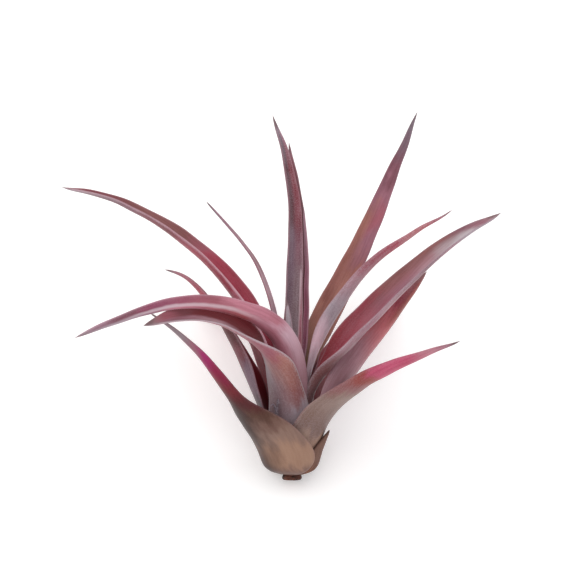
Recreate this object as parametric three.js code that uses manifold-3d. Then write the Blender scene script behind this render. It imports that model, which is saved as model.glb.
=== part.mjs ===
// Peach Tillandsia capitata, an air plant, lying on a surface as it was picked.
//
// Millimetres. The plant is first built upright, in its own frame: the origin is the middle
// of the cut stub, +Z runs up the stem, +X to the right and +Y away from the viewer. It is
// then leant back until it lies on the back of its bulb and the tips of its two lowest back
// leaves, and moved so that the origin is the middle of its box, on the surface.

import * as THREE from 'three';
import * as BufferGeometryUtils from 'three/addons/utils/BufferGeometryUtils.js';
import Module from 'manifold-3d';

const { degToRad, lerp, smoothstep } = THREE.MathUtils;

// How the plant lies: degrees that it leans back.
const LEAN = 51;

// Stem: a woody cut stub, then the short axis that the leaves grow from.
const STUB_RADIUS = 4.6;
const STUB_HEIGHT = 2.4;
const STEM_RADIUS = 4.2;
const STEM_TIP_RADIUS = 1.7;
const STEM_HEIGHT = 26;
const STEM_POINT = 1.2;
const STEM_SIDES = 20;
// The stub's knobbly outline: shares of its radius and of its height.
const STUB_OUTLINE = [[0.86, 0], [1, 0.35], [0.97, 0.8]];

// Bulb: leaf sheaths in layers, the outermost layer being 0. Leaves of one layer stand beside
// each other, and each layer in sits closer to the stem and starts higher on it. A sheath
// bends out over BOWL_HEIGHT, through a point at BOWL_OUT of its way out and BOWL_UP of its
// way up. At its seat it reaches BASE_WRAP degrees at most, and its full wrap by WRAP_BY.
const BULB_RADIUS = 13.3;
const LAYER_STEP = 1.0;
const FIRST_SEAT = 2.8;
const SEAT_STEP = 2.2;
const BOWL_HEIGHT = 10;
const BOWL_OUT = 0.73;
const BOWL_UP = 0.25;
const SEAT_GAP = 0.3;
const BASE_WRAP = 58;
const WRAP_BY = 13;

// Leaves: thickness along the midrib and at the margins, where a sheath turns into a blade,
// how far the blade's halves fold up into a channel, how it narrows towards its tip, and the
// share of the blade by which it has its full width and its full roll.
const SHEATH_THICKNESS = 0.68;
const BLADE_THICKNESS = 1.15;
const MARGIN_THICKNESS = 0.6;
const THINNING = 1.5;
const SHEATH_LENGTH = 25;
const SHEATH_FADE = 11;
const CHANNEL = 48;
const TIP_CHANNEL = 34;
const TAPER = [0.75, 0.9];
const MOUTH = 0.8;
const FULL_BY = 0.28;

// Mesh density: sections along a leaf and points across each of its two faces.
const SECTIONS = 19;
const ACROSS = 7;
const LAST_SECTION = 0.975;
const SECTION_CROWDING = 1.3;
const MERGE_DISTANCE = 1e-4;
const NO_LENGTH = 1e-6;

const LEAF_ROUGHNESS = 0.6;
const BARK_ROUGHNESS = 0.9;
const COLOURS = {
  mauve: 0xa77783,
  pink: 0xb06a74,
  red: 0x8c3e44,
  magenta: 0xa84a68,
  silver: 0xa4909a,
  tawny: 0xa87862,
  olive: 0x8c7568,
  papery: 0x7a4a38,
  bark: 0x4a2416,
  pale: 0xb9aeb0,
};

// Leaves from the outside in. heading is where the midrib stands round the stem (degrees, 270
// towards the viewer) and wrap how far the sheath reaches from it, towards the higher and the
// lower heading. swell widens the sheath. blade is the half-width, mouth the share of it where
// the blade starts, and taper the power and the fullness of its narrowing. path is the midrib
// from the mouth of the bulb to the tip. roll turns the channel about the direction of growth,
// in degrees at the mouth and from rollBy on. sheathLength and fade say where along the leaf
// the sheath turns into the blade.
const LEAVES = [
  {
    name: 'dry_sheath_right', layer: 0, heading: 350, wrap: [38, 44], blade: 3, colour: 'papery',
    path: [[14.9, -2.6, 17.5], [16, -2.8, 20], [17.1, -3, 22.5]],
    sheathLength: 18, fade: 6, sections: 10,
  },
  {
    name: 'dry_sheath_back', layer: 0, heading: 100, wrap: [37, 42], blade: 5, colour: 'papery',
    path: [[-2.6, 15.2, 17.5], [-3.1, 16.6, 21.5]],
    sheathLength: 15, fade: 7, sections: 9,
  },
  {
    name: 'leaf_low_left', layer: 0, heading: 232, wrap: [84, 72], swell: 2, colour: 'olive',
    blade: 7, taper: [1, 0], mouth: 1.95, sheathLength: 27, fade: 13,
    path: [[-17.7, -16, 25.9], [-27.4, -24, 39.5], [-45.9, -35, 63.5], [-62.8, -38, 76.7]],
  },
  {
    name: 'leaf_low_right', layer: 1, heading: 332, wrap: [62, 84], colour: 'magenta',
    blade: 10, taper: [1.05, 0], mouth: 1, roll: [-5, -20], sheathLength: 46, fade: 10,
    path: [[18, -10, 32], [27, -15, 39.6], [39.5, -21, 48.4], [53, -26, 55.2], [74.4, -30, 64]],
  },
  {
    name: 'leaf_back_left', layer: 1, heading: 124, wrap: [50, 60], blade: 8, colour: 'mauve',
    path: [[-9, 20, 38], [-18, 40, 63], [-38, 62, 75.5], [-47.5, 69.3, 77]],
  },
  {
    name: 'leaf_back_right', layer: 2, heading: 56, wrap: [58, 46], blade: 8, colour: 'mauve',
    path: [[10, 18.5, 37], [22, 39, 58], [44, 63, 76.5], [54.5, 73.3, 82]],
  },
  {
    name: 'leaf_left_lower', layer: 2, heading: 262, wrap: [56, 50], colour: 'pink',
    blade: 11, taper: [0.75, 0.8], mouth: 0.8, channel: 68, roll: [0, -86], rollBy: 0.42,
    sheathLength: 36, fade: 8,
    path: [[-2.8, -15, 38], [-7.5, -19.5, 50], [-15.5, -24.5, 61.3], [-33.5, -35, 73.2], [-48, -42, 75],
      [-64.5, -48, 71]],
  },
  {
    name: 'leaf_right_under', layer: 3, heading: 352, wrap: [40, 38], colour: 'tawny',
    blade: 10, taper: [0.8, 0.5], mouth: 0.8, channel: 70, roll: [-10, -45],
    path: [[18, -4, 36], [34, -3, 60], [46, 0, 75], [62, 6, 95]],
  },
  {
    name: 'leaf_left_short', layer: 3, heading: 168, wrap: [46, 58], colour: 'mauve',
    blade: 11.5, taper: [0.8, 0.2], mouth: 1, channel: 75, roll: [5, 10], sheathLength: 34, fade: 16,
    path: [[-16.5, 2, 36.5], [-28, 7, 62], [-41.6, 11, 84.6], [-49.8, 12.5, 93], [-58.8, 13, 95.6]],
  },
  {
    name: 'leaf_left_arch', layer: 4, heading: 274, wrap: [36, 58], colour: 'pink',
    blade: 7.4, taper: [0.6, 0], mouth: 1, channel: 62,
    path: [[1.1, -12.3, 42], [0.7, -14, 55], [-6.5, -22, 68.4], [-19, -34.5, 76], [-45, -49, 80.8],
      [-71, -54, 74.8], [-93.7, -55, 65.6]],
  },
  {
    name: 'leaf_back_low_right', layer: 4, heading: 64, wrap: [48, 50], blade: 5, colour: 'mauve',
    path: [[7, 14, 46], [19, 31, 82], [35.5, 45, 119.5]],
  },
  {
    name: 'leaf_right_broad', layer: 5, heading: 342, wrap: [52, 22], colour: 'red',
    blade: 13.8, taper: [0.7, 0.6], mouth: 0.42, channel: 82, roll: [0, 32],
    path: [[9.6, -3.6, 40], [25.6, -12, 60.4], [51.4, -18, 88.1], [69.5, -20, 105.5], [93.4, -18, 121]],
  },
  {
    name: 'leaf_back_low_left', layer: 5, heading: 114, wrap: [24, 46], blade: 4.4, colour: 'mauve',
    path: [[-5.6, 11.8, 46], [-15, 30, 71], [-37.5, 46, 101]],
  },
  {
    name: 'leaf_left_long', layer: 6, heading: 178, wrap: [54, 30], colour: 'red',
    blade: 11.4, taper: [0.65, 0.7], mouth: 0.6, channel: 80, roll: [0, -22],
    path: [[-9.5, 3, 41.5], [-18, 9, 69], [-40.5, 18, 99.2], [-80, 26, 126.6], [-107.8, 28, 134.5]],
  },
  {
    name: 'leaf_right_tall', layer: 6, heading: 54, wrap: [22, 16], colour: 'tawny',
    blade: 9, taper: [0.82, 0.25], mouth: 0.55, channel: 50, roll: [0, 25],
    path: [[4.4, 6.9, 42], [12.6, 18.5, 66], [32.5, 31, 106], [60, 45, 171.5]],
  },
  {
    name: 'leaf_back_upright', layer: 7, heading: 94, wrap: [16, 20], blade: 3.4, colour: 'mauve',
    path: [[-0.9, 6.8, 43], [-1.6, 13.5, 60], [3, 46, 113]],
  },
  {
    name: 'leaf_right_slender', layer: 7, heading: 4, wrap: [16, 42], colour: 'silver',
    blade: 6.4, taper: [0.9, 0], mouth: 0.7, channel: 60, roll: [0, -50],
    path: [[6.6, 0.2, 41], [9.6, 1, 52], [15.4, 4, 69], [33.8, 8, 95.5], [49, 12, 107.8],
      [74.5, 16, 123.5]],
  },
  {
    name: 'leaf_heart_left', layer: 7, heading: 250, wrap: [40, 40], blade: 2.4, colour: 'pale',
    path: [[-1.8, -4, 43], [-1.5, -3.5, 66], [-2.5, -2, 82]],
  },
  {
    name: 'leaf_left_thin', layer: 8, heading: 150, wrap: [36, 28], blade: 2.3, colour: 'mauve',
    path: [[-5.5, 5, 49], [-8.6, 12, 76.2], [-18.1, 19, 101.3], [-40, 26, 127.5]],
  },
  {
    name: 'leaf_centre_back', layer: 8, heading: 73, wrap: [30, 30], blade: 4.5, colour: 'red',
    path: [[1.6, 5.4, 46], [2.8, 11.5, 66], [4.2, 16, 92], [3.6, 18, 119], [-1.5, 19, 155]],
  },
  {
    name: 'leaf_heart_right', layer: 8, heading: 326, wrap: [36, 36], blade: 1.9, colour: 'pink',
    path: [[3.4, -2, 43], [3.8, -2, 68.5], [4, 0, 96.5]],
  },
  {
    name: 'leaf_centre_tall', layer: 9, heading: 124, wrap: [46, 46], colour: 'silver',
    blade: 5.6, taper: [0.75, 0.7], mouth: 0.7,
    path: [[-1.5, 3, 45], [0.2, 8, 86.5], [0.7, 8, 124], [-2.2, 9, 145], [-9.1, 11, 167]],
  },
  {
    name: 'leaf_centre_right', layer: 9, heading: 38, wrap: [26, 26], blade: 2, colour: 'pink',
    path: [[3.9, 2.1, 46], [6.4, 5.6, 64], [6.9, 10.5, 102], [5, 11, 125.5]],
  },
];

// Side shoot between the lowest left leaf and the one inside it: its base and its blades.
const SHOOT_BASE = [-6.6, -13.6, 27.5];
const SHOOT_BASE_RADIUS = 1.1;
const SHOOT_BASE_STRETCH = 2.4;
const SHOOT_BASE_SIDES = [10, 8];
const SHOOT_STEPS = 8;
const SHOOT_SIDES = 6;
const SHOOT_TAPER = 0.6;
const SHOOT_BLADES = [
  { width: 1.5, points: [[-6.6, -13.7, 28], [-7.6, -15.2, 33], [-8.6, -16.4, 35.6], [-10.2, -17.6, 33.6]] },
  { width: 1.6, points: [[-6.5, -13.6, 28], [-6.8, -15.2, 34], [-6.6, -16.6, 38.2], [-5.6, -18, 34.5]] },
];

const wasm = await Module();
wasm.setup();

// Radius of the stem's axis at a height.
function stemRadius(height) {
  return lerp(STEM_RADIUS, STEM_TIP_RADIUS, (height - STUB_HEIGHT) / (STEM_HEIGHT - STUB_HEIGHT));
}

// Point at a heading, radius and height round the stem.
function roundStem(heading, radius, height) {
  const angle = degToRad(heading);
  return new THREE.Vector3(radius * Math.cos(angle), radius * Math.sin(angle), height);
}

// Radius of a leaf's sheath where the bulb is widest.
function bellyRadius({ layer, swell = 0 }) {
  return BULB_RADIUS + swell - layer * LAYER_STEP;
}

// Midrib of a leaf: from its seat on the stem, round the bulb and along the blade.
function midrib(leaf) {
  const { layer, heading, path } = leaf;
  const seat = FIRST_SEAT + layer * SEAT_STEP;
  const root = stemRadius(seat) + SEAT_GAP;
  const belly = bellyRadius(leaf);
  const bowl = lerp(root, belly, BOWL_OUT);
  return new THREE.CatmullRomCurve3([
    roundStem(heading, root, seat),
    roundStem(heading, bowl, seat + BOWL_UP * BOWL_HEIGHT),
    roundStem(heading, belly, seat + BOWL_HEIGHT),
    ...path.map((point) => new THREE.Vector3(...point)),
  ], false, 'centripetal');
}

// Share of the blade's full width that is left at a share of its length.
function taperAt(along, [power, fullness]) {
  return (1 - along) ** power * (1 + fullness * along);
}

// Stations along a leaf. Each has the midrib's point, the direction to the channel's open
// side, the sideways direction, the half-width and the half-angle on each side, and how far
// the section has turned from a sheath round the stem into a blade (0 to 1).
function stations(leaf) {
  const curve = midrib(leaf);
  const length = curve.getLength();
  const count = leaf.sections ?? SECTIONS;
  const sheathLength = leaf.sheathLength ?? SHEATH_LENGTH;
  const fade = leaf.fade ?? SHEATH_FADE;
  const roll = leaf.roll ?? [0, 0];
  const wraps = leaf.wrap.map(degToRad);
  const belly = bellyRadius(leaf);
  const open = new THREE.Vector3();
  const list = [];
  let lastTangent = null;
  for (let i = 0; i < count; i += 1) {
    const share = LAST_SECTION * (i / (count - 1)) ** SECTION_CROWDING;
    const arc = share * length;
    const point = curve.getPointAt(share);
    const tangent = curve.getTangentAt(share);
    const radius = Math.hypot(point.x, point.y);
    const toStem = new THREE.Vector3(-point.x, -point.y, 0).normalize();
    const roundWay = new THREE.Vector3(-toStem.y, toStem.x, 0);
    if (lastTangent === null || arc < sheathLength - fade) {
      open.copy(toStem);
    } else {
      open.applyQuaternion(new THREE.Quaternion().setFromUnitVectors(lastTangent, tangent));
    }
    open.addScaledVector(tangent, -open.dot(tangent));
    if (open.lengthSq() < NO_LENGTH) open.set(0, 0, 1);
    open.normalize();
    lastTangent = tangent;
    const turned = smoothstep(arc, sheathLength - fade, sheathLength + fade);
    const along = Math.max(0, (arc - sheathLength) / (length - sheathLength));
    const rolled = smoothstep(along, 0, leaf.rollBy ?? FULL_BY);
    const bladeOpen = open.clone()
      .applyAxisAngle(tangent, degToRad(lerp(roll[0], roll[1], rolled)));
    const bladeSide = new THREE.Vector3().crossVectors(tangent, bladeOpen);
    const opening = lerp(leaf.mouth ?? MOUTH, 1, smoothstep(along, 0, FULL_BY));
    const width = leaf.blade * opening * taperAt(along, leaf.taper ?? TAPER);
    const channel = degToRad(lerp(leaf.channel ?? CHANNEL, TIP_CHANNEL, along));
    list.push({
      point,
      turned,
      open: toStem.clone().lerp(bladeOpen, turned).normalize(),
      side: roundWay.lerp(bladeSide, turned).normalize(),
      sides: wraps.map((wrap) => {
        const base = Math.min(degToRad(BASE_WRAP), wrap);
        const spread = lerp(base, wrap, smoothstep(arc, 0, WRAP_BY));
        const sheathWidth = Math.min(radius, belly) * spread;
        return {
          width: lerp(sheathWidth, width, turned),
          angle: lerp(sheathWidth / radius, channel, turned),
        };
      }),
    });
  }
  return { list, tip: curve.getPointAt(1) };
}

// Point on a leaf's middle surface, across running from -1 to 1.
function middlePoint({ point, open, side, sides }, across) {
  const { width, angle } = sides[across < 0 ? 0 : 1];
  const turn = across * angle;
  const bend = width / angle;
  return point.clone()
    .addScaledVector(open, bend * (1 - Math.cos(turn)))
    .addScaledVector(side, bend * Math.sin(turn));
}

// Half the leaf's thickness at a station.
function halfThickness(turned, across) {
  const middle = lerp(SHEATH_THICKNESS, BLADE_THICKNESS, turned);
  return lerp(middle, MARGIN_THICKNESS, Math.abs(across) ** THINNING) / 2;
}

// Closed leaf solid: an inner and an outer face joined along the margins, a strip that
// closes the root and one point at the tip.
function leafGeometry(leaf) {
  const { list, tip } = stations(leaf);
  const across = Array.from({ length: ACROSS }, (_, j) => (2 * j) / (ACROSS - 1) - 1);
  const middle = list.map((station) => across.map((a) => middlePoint(station, a)));
  const rows = list.length;
  const positions = [];
  const normalAt = (i, j) => {
    const up = middle[Math.min(i + 1, rows - 1)][j].clone().sub(middle[Math.max(i - 1, 0)][j]);
    const over = middle[i][Math.min(j + 1, ACROSS - 1)].clone()
      .sub(middle[i][Math.max(j - 1, 0)]);
    return over.cross(up).normalize();
  };
  for (let i = 0; i < rows; i += 1) {
    for (const face of [1, -1]) {
      for (let j = 0; j < ACROSS; j += 1) {
        const offset = face * halfThickness(list[i].turned, across[j]);
        middle[i][j].clone().addScaledVector(normalAt(i, j), offset)
          .toArray(positions, positions.length);
      }
    }
  }
  tip.toArray(positions, positions.length);

  const inner = (i, j) => i * 2 * ACROSS + j;
  const outer = (i, j) => (i * 2 + 1) * ACROSS + j;
  const apex = rows * 2 * ACROSS;
  const last = rows - 1;
  const right = ACROSS - 1;
  const triangles = [];
  for (let j = 0; j < right; j += 1) {
    for (let i = 0; i < last; i += 1) {
      triangles.push(
        inner(i, j), inner(i, j + 1), inner(i + 1, j + 1),
        inner(i, j), inner(i + 1, j + 1), inner(i + 1, j),
        outer(i, j), outer(i + 1, j + 1), outer(i, j + 1),
        outer(i, j), outer(i + 1, j), outer(i + 1, j + 1),
      );
    }
    triangles.push(
      inner(0, j), outer(0, j), outer(0, j + 1),
      inner(0, j), outer(0, j + 1), inner(0, j + 1),
      inner(last, j), inner(last, j + 1), apex,
      outer(last, j + 1), outer(last, j), apex,
    );
  }
  for (let i = 0; i < last; i += 1) {
    triangles.push(
      inner(i, 0), inner(i + 1, 0), outer(i + 1, 0),
      inner(i, 0), outer(i + 1, 0), outer(i, 0),
      inner(i, right), outer(i + 1, right), inner(i + 1, right),
      inner(i, right), outer(i, right), outer(i + 1, right),
    );
  }
  triangles.push(inner(last, 0), apex, outer(last, 0));
  triangles.push(inner(last, right), outer(last, right), apex);

  const geometry = new THREE.BufferGeometry();
  geometry.setAttribute('position', new THREE.Float32BufferAttribute(positions, 3));
  geometry.setIndex(triangles);
  return geometry;
}

// Stem: a turned profile from the stub's cut face up to the pointed axis.
function stemGeometry() {
  const profile = [
    [0, 0],
    ...STUB_OUTLINE.map(([out, up]) => [STUB_RADIUS * out, STUB_HEIGHT * up]),
    [STEM_RADIUS, STUB_HEIGHT],
    [stemRadius(STEM_HEIGHT / 2), STEM_HEIGHT / 2],
    [STEM_TIP_RADIUS, STEM_HEIGHT - STEM_POINT],
    [STEM_TIP_RADIUS / 2, STEM_HEIGHT],
    [0, STEM_HEIGHT],
  ].map(([radius, height]) => new THREE.Vector2(radius, height));
  return new THREE.LatheGeometry(profile, STEM_SIDES).rotateX(Math.PI / 2);
}

// Solid of one thin round blade of the side shoot, along a curve through its points.
function shootBlade(points, width) {
  const curve = new THREE.CatmullRomCurve3(points.map((point) => new THREE.Vector3(...point)));
  const frames = curve.computeFrenetFrames(SHOOT_STEPS);
  const positions = [];
  const triangles = [];
  for (let i = 0; i < SHOOT_STEPS; i += 1) {
    const share = i / SHOOT_STEPS;
    const centre = curve.getPointAt(share);
    const radius = (width / 2) * (1 - share) ** SHOOT_TAPER;
    for (let k = 0; k < SHOOT_SIDES; k += 1) {
      const angle = (k / SHOOT_SIDES) * 2 * Math.PI;
      centre.clone()
        .addScaledVector(frames.normals[i], radius * Math.cos(angle))
        .addScaledVector(frames.binormals[i], radius * Math.sin(angle))
        .toArray(positions, positions.length);
    }
  }
  const foot = SHOOT_STEPS * SHOOT_SIDES;
  curve.getPointAt(0).toArray(positions, positions.length);
  curve.getPointAt(1).toArray(positions, positions.length);
  for (let k = 0; k < SHOOT_SIDES; k += 1) {
    const next = (k + 1) % SHOOT_SIDES;
    for (let i = 0; i < SHOOT_STEPS - 1; i += 1) {
      const ring = i * SHOOT_SIDES;
      const ringUp = ring + SHOOT_SIDES;
      triangles.push(
        ring + k, ring + next, ringUp + next,
        ring + k, ringUp + next, ringUp + k,
      );
    }
    const top = foot - SHOOT_SIDES;
    triangles.push(foot, next, k, top + k, top + next, foot + 1);
  }
  return toSolid(new THREE.BufferGeometry()
    .setAttribute('position', new THREE.Float32BufferAttribute(positions, 3))
    .setIndex(triangles));
}

// Solid of a closed geometry, with its shared vertices merged.
function toSolid(geometry) {
  const bare = new THREE.BufferGeometry()
    .setAttribute('position', geometry.getAttribute('position'))
    .setIndex(geometry.getIndex());
  const merged = BufferGeometryUtils.mergeVertices(bare, MERGE_DISTANCE);
  return new wasm.Manifold(new wasm.Mesh({
    numProp: 3,
    vertProperties: merged.getAttribute('position').array,
    triVerts: Uint32Array.from(merged.getIndex().array),
  }));
}

// Geometry of a solid.
function toGeometry(solid) {
  const mesh = solid.getMesh();
  return new THREE.BufferGeometry()
    .setAttribute('position', new THREE.Float32BufferAttribute(mesh.vertProperties, 3))
    .setIndex(Array.from(mesh.triVerts));
}

// Side shoot: a small oval base with blades that rise from it, joined in one solid.
function sideShootGeometry() {
  const base = new THREE.SphereGeometry(SHOOT_BASE_RADIUS, ...SHOOT_BASE_SIDES)
    .scale(1, 1, SHOOT_BASE_STRETCH);
  const solid = SHOOT_BLADES.reduce(
    (joined, { points, width }) => joined.add(shootBlade(points, width)),
    toSolid(base.translate(...SHOOT_BASE)),
  );
  return toGeometry(solid);
}

// Named mesh of one sub-part in its own colour.
function part(name, geometry, colour, roughness) {
  const material = new THREE.MeshStandardMaterial({
    color: COLOURS[colour], roughness, metalness: 0,
  });
  const mesh = new THREE.Mesh(geometry, material);
  mesh.name = name;
  return mesh;
}

const plant = new THREE.Group();
plant.add(part('stem', stemGeometry(), 'bark', BARK_ROUGHNESS));
plant.add(part('side_shoot', sideShootGeometry(), 'pale', LEAF_ROUGHNESS));
for (const leaf of LEAVES) {
  plant.add(part(leaf.name, leafGeometry(leaf), leaf.colour, LEAF_ROUGHNESS));
}

// Lean the plant back and set the middle of its box, on the surface, at the origin.
plant.rotation.set(degToRad(-LEAN), 0, 0);
const lying = new THREE.Group();
lying.add(plant);
lying.updateMatrixWorld(true);
const box = new THREE.Box3().setFromObject(lying, true);
const middle = box.getCenter(new THREE.Vector3());
plant.position.set(-middle.x, -middle.y, -box.min.z);

export default lying;
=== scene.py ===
"""Dresses a peach tillandsia capitata, an air plant that lies as it was picked.

Every leaf, the dry sheaths, the side shoot and the cut stub are copied from the frame,
rounded off and given their own finish. Lengths are in metres unless a name ends in _mm.
"""

import logging
import math
from contextlib import contextmanager
from dataclasses import dataclass, replace
from enum import Enum
from functools import reduce
from typing import Any, Iterator

import bpy
from mathutils import Matrix, Vector


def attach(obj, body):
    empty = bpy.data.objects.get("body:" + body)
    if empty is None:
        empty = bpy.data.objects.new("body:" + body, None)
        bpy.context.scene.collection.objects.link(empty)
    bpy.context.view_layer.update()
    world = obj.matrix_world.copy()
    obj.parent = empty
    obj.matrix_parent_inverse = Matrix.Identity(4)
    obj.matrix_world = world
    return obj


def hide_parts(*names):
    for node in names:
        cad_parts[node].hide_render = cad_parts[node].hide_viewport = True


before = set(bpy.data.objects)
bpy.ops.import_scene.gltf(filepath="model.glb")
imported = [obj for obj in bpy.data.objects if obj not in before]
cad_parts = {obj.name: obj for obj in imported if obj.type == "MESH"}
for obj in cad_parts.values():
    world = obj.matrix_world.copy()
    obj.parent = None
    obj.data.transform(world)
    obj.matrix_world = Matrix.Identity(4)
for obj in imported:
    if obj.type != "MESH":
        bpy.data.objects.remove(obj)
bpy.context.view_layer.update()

LOG = logging.getLogger("tillandsia")

BODY = "root"
MM = 0.001
LEAN = math.radians(51.0)
SENSOR_MM = 36.0
CUT_TOLERANCE_MM = 0.02
MERGE_DISTANCE = 1e-6
LEAF_SEED_STEP = 13.7
SHEATH_SEED_STEP = 5.1
SHARE_LAYER = "leaf_share"
SPAN_LAYER = "leaf_span"

Socket = bpy.types.NodeSocket
NUMBER = "NodeSocketFloat"
VECTOR = "NodeSocketVector"


def linear(code: str) -> tuple[float, float, float, float]:
    """Turns a six-digit display colour into the linear colour that the shaders use.

    Args:
        code: Red, green and blue as hexadecimal digits.

    Returns:
        Linear red, green, blue and an alpha of one.
    """
    shares = [int(code[i:i + 2], 16) / 255 for i in (0, 2, 4)]
    bent = [s / 12.92 if s <= 0.04045 else ((s + 0.055) / 1.055) ** 2.4 for s in shares]
    return (bent[0], bent[1], bent[2], 1.0)


class Hue(Enum):
    """Surface colours of living and dried leaves, from the darkest to the palest."""

    UMBER = "32160e"
    OXBLOOD = "501418"
    WINE = "582832"
    GARNET = "701a24"
    WALNUT = "543426"
    DUSK = "543c44"
    RASPBERRY = "881440"
    CLARET = "7c2c38"
    MULBERRY = "72343e"
    RUBY = "882632"
    CHERRY = "8a2e3e"
    FUCHSIA = "9c2062"
    BRICK = "903c34"
    GRAPE = "7c4856"
    TAUPE = "6a5254"
    BARK = "705248"
    BERRY = "9a3e50"
    HEATHER = "725664"
    CRIMSON = "a43a4e"
    RUSSET = "885252"
    ORCHID = "924a64"
    COCOA = "7c5a5e"
    ROSEWOOD = "9e5664"
    PEBBLE = "866a5e"
    ASH_ROSE = "846a70"
    THISTLE = "986272"
    PEONY = "c0486c"
    SLATE = "78707c"
    CORAL = "b25c62"
    SIENNA = "a2685e"
    MAUVE = "966e7e"
    TAN = "9a7864"
    DOVE = "8e7c82"
    PETAL = "a87e88"
    PEACH = "b47c6e"
    ROSE = "c07a8a"
    FOG = "a0909a"
    SILVER = "b8acb2"
    PEARL = "d4aebc"


Stop = tuple[float, Hue]


def run(text: str) -> tuple[Stop, ...]:
    """Reads a row of hues, each after its place from root to tip in percent."""
    stops = (stop.split() for stop in text.split(","))
    return tuple((float(percent) / 100, Hue[name.upper()]) for percent, name in stops)


class Blend(Enum):
    """Ways to lay a second colour over a first one."""

    COVER = "MIX"
    SHADE = "MULTIPLY"


class Element(Enum):
    """Kinds of mesh elements that edit mode selects, with their lists' names."""

    VERTEX = ("VERT", "vertices")
    EDGE = ("EDGE", "edges")


class Face(Enum):
    """The two faces of a leaf."""

    OUTER = 0
    INNER = 1


class NodeBench:
    """Adds and wires the nodes of one node tree."""

    def __init__(self, tree: bpy.types.NodeTree) -> None:
        """Takes the tree and clears it."""
        self.tree = tree
        tree.nodes.clear()

    def add(self, kind: str, inputs: dict[Any, Any] | None = None, **settings: Any) -> Any:
        """Adds one node.

        Args:
            kind: The node's type name.
            inputs: Values or sockets for the node's inputs, by name or number.
            settings: Properties of the node itself.

        Returns:
            The new node.
        """
        node = self.tree.nodes.new(kind)
        for name, value in settings.items():
            setattr(node, name, value)
        self.feed(node, inputs or {})
        return node

    def feed(self, node: Any, inputs: dict[Any, Any]) -> None:
        """Sets or links a node's inputs.

        Args:
            node: The node.
            inputs: Values or sockets by name or number.
        """
        for key, value in inputs.items():
            if isinstance(value, Socket):
                self.tree.links.new(value, node.inputs[key])
            else:
                node.inputs[key].default_value = value

    def math(self, operation: str, first: Any, second: Any = 0.0) -> Socket:
        """Result of one operation on two numbers."""
        return self.add("ShaderNodeMath", {0: first, 1: second}, operation=operation).outputs[0]

    def product(self, *factors: Any) -> Any:
        """Two or more numbers multiplied in order."""
        return reduce(lambda one, two: self.math("MULTIPLY", one, two), factors)

    def total(self, *terms: Any) -> Any:
        """Two or more numbers added in order."""
        return reduce(lambda one, two: self.math("ADD", one, two), terms)

    def span(self, value: Any, low: float, high: float, start: float = 0.0,
             end: float = 1.0) -> Socket:
        """Eases a value from one range to another.

        Args:
            value: The number to read.
            low: Where the ramp starts.
            high: Where it ends.
            start: What it gives at low.
            end: What it gives at high.

        Returns:
            The eased number.
        """
        node = self.add("ShaderNodeMapRange", {
            "Value": value, "From Min": low, "From Max": high, "To Min": start, "To Max": end,
        }, interpolation_type="SMOOTHSTEP")
        return node.outputs["Result"]

    def mix(self, share: Any, first: Any, second: Any, blend: Blend = Blend.COVER) -> Socket:
        """Mixes two colours.

        Args:
            share: How much of the second colour is taken.
            first: The first colour.
            second: The second colour.
            blend: How it is laid over the first.

        Returns:
            The mixed colour.
        """
        node = self.add("ShaderNodeMix", {0: share, 6: first, 7: second},
                        data_type="RGBA", blend_type=blend.value)
        return node.outputs[2]

    def bump(self, height: Socket, strength: float, depth_mm: float) -> Socket:
        """Normal of a surface with fine relief.

        Args:
            height: The relief, from 0 to 1.
            strength: How much of it shows.
            depth_mm: How deep it is.

        Returns:
            The normal.
        """
        node = self.add("ShaderNodeBump", {
            "Strength": strength, "Distance": depth_mm * MM, "Height": height})
        return node.outputs["Normal"]

    def ramp(self, share: Socket, stops: tuple[Stop, ...]) -> Socket:
        """Colour that runs through the stops as a share goes from 0 to 1.

        Args:
            share: The number to read.
            stops: Places and colours in order.

        Returns:
            The colour.
        """
        node = self.add("ShaderNodeValToRGB", {"Fac": share})
        band = node.color_ramp
        band.interpolation = "EASE"
        while len(band.elements) < len(stops):
            band.elements.new(0.5)
        for element, (place, hue) in zip(band.elements, stops):
            element.position = place
            element.color = linear(hue.value)
        return node.outputs["Color"]

    def noise(self, place: Socket, scale: Any, detail: float = 2.0,
              roughness: float = 0.5) -> Socket:
        """Soft noise from 0 to 1.

        Args:
            place: Where the noise is read.
            scale: Its grains per unit of place.
            detail: How many finer layers it holds.
            roughness: How strong the finer layers are.

        Returns:
            The noise's value.
        """
        node = self.add("ShaderNodeTexNoise", {
            "Vector": place, "Scale": scale, "Detail": detail, "Roughness": roughness,
        })
        return node.outputs["Fac"]

    def vector(self, x: Any, y: Any, z: Any) -> Socket:
        """Vector of three numbers."""
        return self.add("ShaderNodeCombineXYZ", {0: x, 1: y, 2: z}).outputs[0]

    def parts(self, vector: Socket) -> tuple[Socket, Socket, Socket]:
        """The three numbers of a vector."""
        node = self.add("ShaderNodeSeparateXYZ", {0: vector})
        return node.outputs[0], node.outputs[1], node.outputs[2]


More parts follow.
